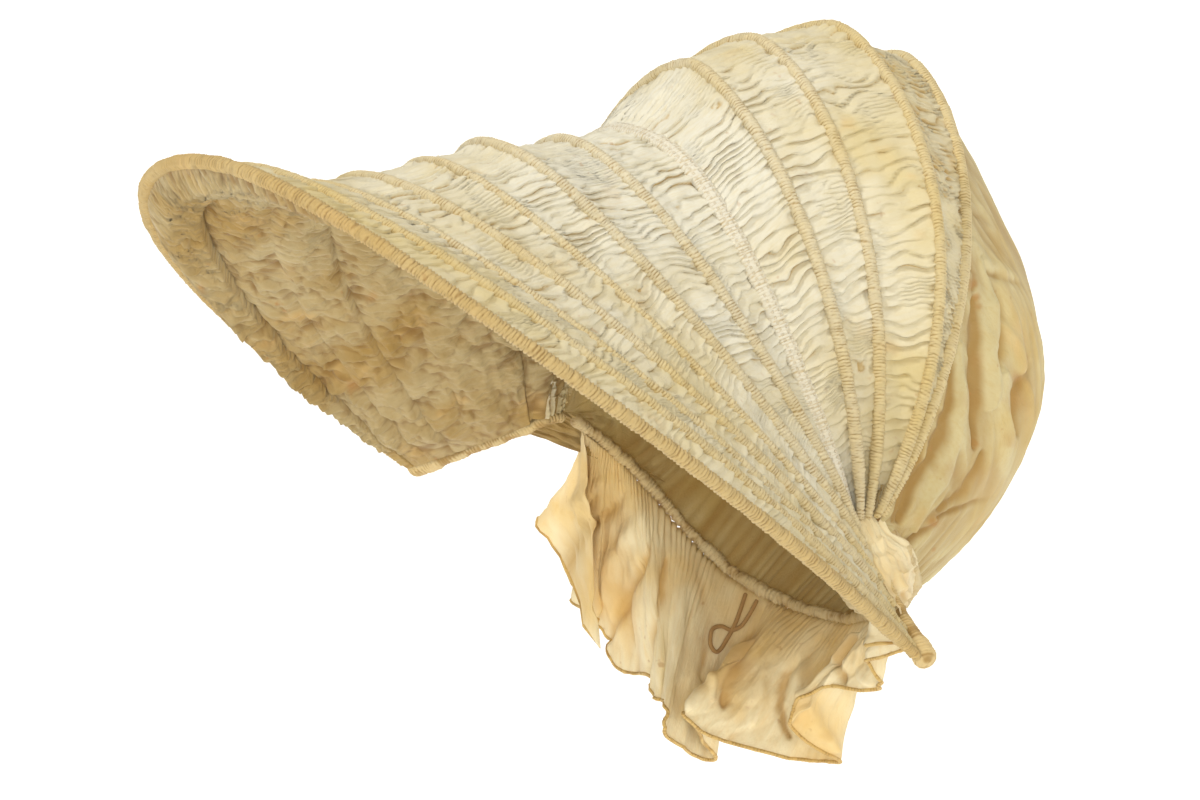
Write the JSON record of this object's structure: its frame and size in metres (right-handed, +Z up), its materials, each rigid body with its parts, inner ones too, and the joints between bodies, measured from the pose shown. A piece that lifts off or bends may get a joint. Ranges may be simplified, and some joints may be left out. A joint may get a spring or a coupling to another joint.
{
  "type": "calash",
  "caption": "Folding hooped hood of ruched cream silk on cane ribs, with a brim lining, a soft crown, a gathered neck frill and a drawstring loop.",
  "frame": {"origin": "the point inside the crown where the top of the wearer's head touches the cloth, on the left-right mirror plane", "axes": "+Z up as worn; the wearer faces -Y; +X is the wearer's left"},
  "size_m": [0.4158, 0.4919, 0.3951],
  "materials": {
    "hood_silk": "ruched ivory silk, semi-matte, aged golden in the creases",
    "rib_silk": "ivory silk gathered tightly over cane",
    "lining_silk": "rumpled tan silk, semi-matte, stained",
    "crown_silk": "soft ivory silk in long folds, stained golden",
    "frill_silk": "thin cream silk with a narrow rolled hem",
    "binding_silk": "turned golden-tan silk edge",
    "casing_silk": "gathered drawstring casing, frayed",
    "drawstring": "brown silk tape, matte"
  },
  "bodies": {
    "root": {"hood_cloth": "hood_silk", "brim_lining": "lining_silk", "crown_cloth": "crown_silk", "neck_casing": "casing_silk", "neck_frill": "frill_silk", "neck_cord": "drawstring", "flap_binding_left": "binding_silk", "flap_binding_right": "binding_silk", "rib_01": "rib_silk", "rib_02": "rib_silk", "rib_03": "rib_silk", "rib_04": "rib_silk", "rib_05": "rib_silk", "rib_06": "rib_silk", "rib_07": "rib_silk", "rib_08": "rib_silk", "rib_09": "rib_silk", "rib_10": "rib_silk", "rib_11": "rib_silk", "rib_12": "rib_silk"}
  },
  "joints": []
}
